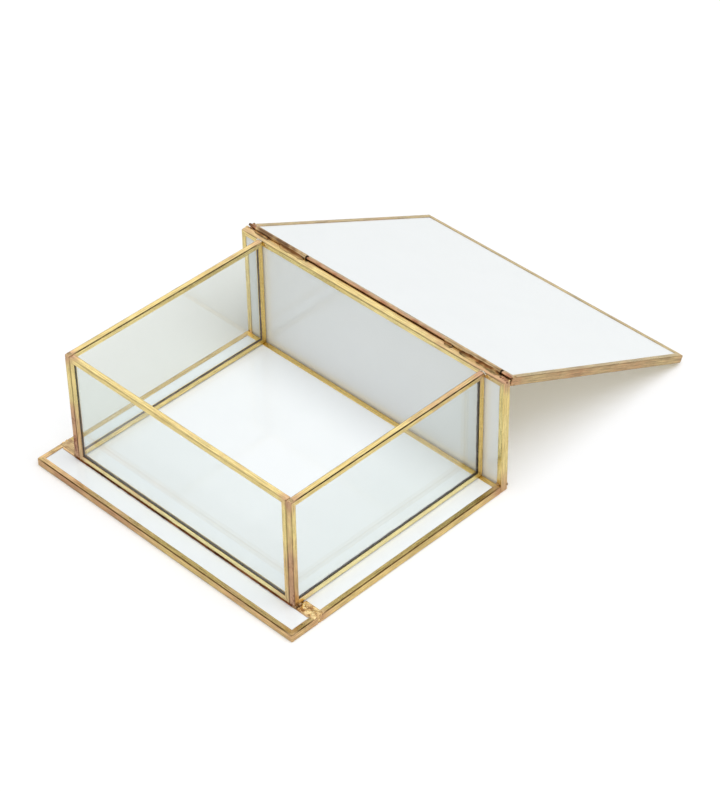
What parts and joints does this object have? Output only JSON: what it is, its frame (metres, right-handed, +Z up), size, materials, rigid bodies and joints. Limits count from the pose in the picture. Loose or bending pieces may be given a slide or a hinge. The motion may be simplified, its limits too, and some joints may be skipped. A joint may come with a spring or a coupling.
{
  "type": "glass casket box",
  "caption": "Book-shaped glass casket: white covers and spine edged in brass channel, clear glass walls, and a top cover that turns back on a rod hinge along the spine.",
  "frame": {"origin": "on the table under the middle of the spine, the upright back of the box", "axes": "+Z up, +Y backward from the box across the laid-back top cover, +X to the right along the hinge"},
  "size_m": [0.22, 0.3446, 0.0867],
  "materials": {
    "white_glass": "opaque white, polished",
    "clear_glass": "clear, slightly green at the edges",
    "cover_channel": "polished brass sheet, tinted by heat at the corners",
    "wall_channel": "polished brass sheet, tinted by heat at the corners",
    "hinge_tube": "drawn tube, dark from the torch",
    "hinge_rod": "drawn rod, copper pink",
    "dark_solder": "smooth solder, dark brown",
    "pink_solder": "smooth solder, copper pink to tan",
    "bright_solder": "lumpy bright solder",
    "tan_solder": "smooth pinkish-tan solder",
    "gold_solder": "small gold drops"
  },
  "bodies": {
    "box": {"base_panel": "white_glass", "base_came_front": "cover_channel", "base_came_right": "cover_channel", "base_came_back": "cover_channel", "base_came_left": "cover_channel", "strip_panel": "white_glass", "strip_came_front": "cover_channel", "strip_came_right": "cover_channel", "strip_came_back": "cover_channel", "strip_came_left": "cover_channel", "spine_panel": "white_glass", "spine_came_bottom": "cover_channel", "spine_came_right": "cover_channel", "spine_came_top": "cover_channel", "spine_came_left": "cover_channel", "front_glass": "clear_glass", "front_came_bottom": "wall_channel", "front_came_right": "wall_channel", "front_came_top": "wall_channel", "front_came_left": "wall_channel", "right_glass": "clear_glass", "right_came_bottom": "wall_channel", "right_came_back": "wall_channel", "right_came_top": "wall_channel", "right_came_front": "wall_channel", "left_glass": "clear_glass", "left_came_bottom": "wall_channel", "left_came_back": "wall_channel", "left_came_top": "wall_channel", "left_came_front": "wall_channel", "hinge_tube_left": "hinge_tube", "hinge_tube_right": "hinge_tube", "tube_solder_left": "dark_solder", "tube_solder_right": "dark_solder", "strip_solder_left": "bright_solder", "strip_solder_right": "bright_solder", "corner_solder": "tan_solder", "drop_solder": "gold_solder"},
    "lid": {"lid_panel": "white_glass", "lid_came_front": "cover_channel", "lid_came_right": "cover_channel", "lid_came_hinge": "cover_channel", "lid_came_left": "cover_channel", "hinge_rod": "hinge_rod", "rod_solder": "pink_solder"}
  },
  "joints": [
    {"name": "lid_hinge", "type": "hinge", "parent": "box", "child": "lid", "pos_m": [0, 0.00365, 0.08525], "axis": [1, 0, 0], "range_deg": [0, 205.51]}
  ]
}
